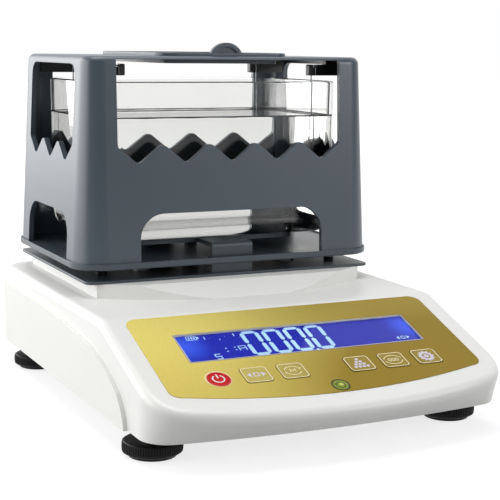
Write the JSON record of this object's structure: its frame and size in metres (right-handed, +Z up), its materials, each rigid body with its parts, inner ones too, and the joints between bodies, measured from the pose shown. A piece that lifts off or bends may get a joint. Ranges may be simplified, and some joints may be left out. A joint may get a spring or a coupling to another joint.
{
  "type": "electronic gold tester",
  "caption": "Bench gold tester: white scale base with a sloped gold key panel and display, a grey zigzag rack over a clear water tank, and levelling feet.",
  "frame": {"origin": "on the bench, under the middle of the bounding box", "axes": "+Z up, the front with its keys looks along -Y, +X to the right of someone in front"},
  "size_m": [0.2, 0.2788, 0.1968],
  "materials": {
    "housing_white": "satin moulded ABS",
    "base_white": "satin moulded ABS",
    "panel_gold": "metallic gold membrane film",
    "key_gold": "metallic gold key cap with printed border",
    "power_red": "glossy red key cap",
    "ring_copper": "polished copper-coloured ring",
    "lens_clear": "clear flat lens",
    "display_blue": "backlit blue liquid crystal",
    "vial_green": "green fluid under a clear cap",
    "board_green": "circuit board",
    "cell_aluminium": "milled bar",
    "screw_steel": "zinc plated screw",
    "spider_aluminium": "cast spider",
    "inlet_black": "moulded socket",
    "foot_black": "black knurled foot",
    "stud_black": "stud with soft sole",
    "insert_brass": "threaded brass bush",
    "plate_grey": "slate grey powder coat",
    "tray_grey": "slate grey powder coat",
    "stand_grey": "slate grey powder coat",
    "tank_clear": "clear polished acrylic",
    "rack_grey": "slate grey satin moulding",
    "arm_black": "black moulded arm",
    "wire_steel": "thin stainless wire",
    "basket_steel": "perforated stainless dish",
    "pan_grey": "slate grey satin pan",
    "knob_black": "black knob"
  },
  "bodies": {
    "base": {"lower_housing": "base_white", "upper_housing": "housing_white", "control_panel": "panel_gold", "lcd_window": "lens_clear", "lcd_module": "display_blue", "level_vial": "vial_green", "power_ring": "ring_copper", "key_board": "board_green", "main_board": "board_green", "load_cell": "cell_aluminium", "load_cell_mount": "spider_aluminium", "load_cell_screws": "screw_steel", "dc_inlet": "inlet_black", "foot_inserts": "insert_brass", "housing_screws": "screw_steel", "tank_base_plate": "plate_grey", "plate_screws": "screw_steel", "stand_screws": "screw_steel", "tank_stand": "stand_grey"},
    "weighing": {"load_bridge": "spider_aluminium", "bridge_screws": "screw_steel", "weighing_tray": "tray_grey", "tray_screw": "knob_black"},
    "rack": {"rack": "rack_grey", "hook_screws": "screw_steel", "hook_arm_front_left": "arm_black", "hook_arm_front_right": "arm_black", "hook_arm_rear_left": "arm_black", "hook_arm_rear_right": "arm_black"},
    "air_pan": {"air_pan": "pan_grey"},
    "basket": {"basket": "basket_steel", "basket_wires": "wire_steel"},
    "tank": {"tank": "tank_clear"},
    "power_key": {"power_key": "power_red"},
    "foot_stud_front_left": {"foot_stud_front_left": "stud_black"},
    "foot_wheel_front_left": {"foot_wheel_front_left": "foot_black"},
    "foot_stud_front_right": {"foot_stud_front_right": "stud_black"},
    "foot_wheel_front_right": {"foot_wheel_front_right": "foot_black"},
    "foot_stud_rear_left": {"foot_stud_rear_left": "stud_black"},
    "foot_wheel_rear_left": {"foot_wheel_rear_left": "foot_black"},
    "foot_stud_rear_right": {"foot_stud_rear_right": "stud_black"},
    "foot_wheel_rear_right": {"foot_wheel_rear_right": "foot_black"},
    "key_one": {"key_one": "key_gold"},
    "key_two": {"key_two": "key_gold"},
    "key_three": {"key_three": "key_gold"},
    "key_four": {"key_four": "key_gold"},
    "key_five": {"key_five": "key_gold"}
  },
  "joints": [
    {"name": "foot_front_left_height", "type": "slide", "parent": "base", "child": "foot_stud_front_left", "axis": [0, 0, -1], "range_m": [-0.005, 0.006]},
    {"name": "foot_front_left_turn", "type": "hinge", "parent": "foot_stud_front_left", "child": "foot_wheel_front_left", "pos_m": [-0.0844, -0.0888, 0.004], "axis": [0, 0, 1], "range_deg": [-2160, 1800]},
    {"name": "foot_front_right_height", "type": "slide", "parent": "base", "child": "foot_stud_front_right", "axis": [0, 0, -1], "range_m": [-0.005, 0.006]},
    {"name": "foot_front_right_turn", "type": "hinge", "parent": "foot_stud_front_right", "child": "foot_wheel_front_right", "pos_m": [0.0844, -0.0888, 0.004], "axis": [0, 0, 1], "range_deg": [-2160, 1800]},
    {"name": "foot_rear_left_height", "type": "slide", "parent": "base", "child": "foot_stud_rear_left", "axis": [0, 0, -1], "range_m": [-0.005, 0.006]},
    {"name": "foot_rear_left_turn", "type": "hinge", "parent": "foot_stud_rear_left", "child": "foot_wheel_rear_left", "pos_m": [-0.0844, 0.1028, 0.004], "axis": [0, 0, 1], "range_deg": [-2160, 1800]},
    {"name": "foot_rear_right_height", "type": "slide", "parent": "base", "child": "foot_stud_rear_right", "axis": [0, 0, -1], "range_m": [-0.005, 0.006]},
    {"name": "foot_rear_right_turn", "type": "hinge", "parent": "foot_stud_rear_right", "child": "foot_wheel_rear_right", "pos_m": [0.0844, 0.1028, 0.004], "axis": [0, 0, 1], "range_deg": [-2160, 1800]},
    {"name": "power_key_press", "type": "slide", "parent": "base", "child": "power_key", "axis": [0, 0.3371, -0.9415], "range_m": [0, 0.0004], "stiffness_N_per_m": 3000},
    {"name": "key_one_press", "type": "slide", "parent": "base", "child": "key_one", "axis": [0, 0.3371, -0.9415], "range_m": [0, 0.0004], "stiffness_N_per_m": 3000},
    {"name": "key_two_press", "type": "slide", "parent": "base", "child": "key_two", "axis": [0, 0.3371, -0.9415], "range_m": [0, 0.0004], "stiffness_N_per_m": 3000},
    {"name": "key_three_press", "type": "slide", "parent": "base", "child": "key_three", "axis": [0, 0.3371, -0.9415], "range_m": [0, 0.0004], "stiffness_N_per_m": 3000},
    {"name": "key_four_press", "type": "slide", "parent": "base", "child": "key_four", "axis": [0, 0.3371, -0.9415], "range_m": [0, 0.0004], "stiffness_N_per_m": 3000},
    {"name": "key_five_press", "type": "slide", "parent": "base", "child": "key_five", "axis": [0, 0.3371, -0.9415], "range_m": [0, 0.0004], "stiffness_N_per_m": 3000},
    {"name": "tray_load", "type": "slide", "parent": "base", "child": "weighing", "axis": [0, 0, -1], "range_m": [0, 0.0003], "stiffness_N_per_m": 200000},
    {"name": "rack_lift", "type": "slide", "parent": "weighing", "child": "rack", "axis": [0, 0, 1], "range_m": [0, 0.12]},
    {"name": "pan_lift", "type": "slide", "parent": "rack", "child": "air_pan", "axis": [0, 0, 1], "range_m": [0, 0.05]},
    {"name": "basket_lift", "type": "slide", "parent": "rack", "child": "basket", "axis": [0, 0, 1], "range_m": [0, 0.0025]},
    {"name": "tank_lift", "type": "slide", "parent": "base", "child": "tank", "axis": [0, 0, 1], "range_m": [0, 0.003]}
  ],
  "couplings": [
    {"joint": "foot_front_left_height", "follows": "foot_front_left_turn", "m_per_rad": -0.00015915},
    {"joint": "foot_front_right_height", "follows": "foot_front_right_turn", "m_per_rad": -0.00015915},
    {"joint": "foot_rear_left_height", "follows": "foot_rear_left_turn", "m_per_rad": -0.00015915},
    {"joint": "foot_rear_right_height", "follows": "foot_rear_right_turn", "m_per_rad": -0.00015915}
  ]
}
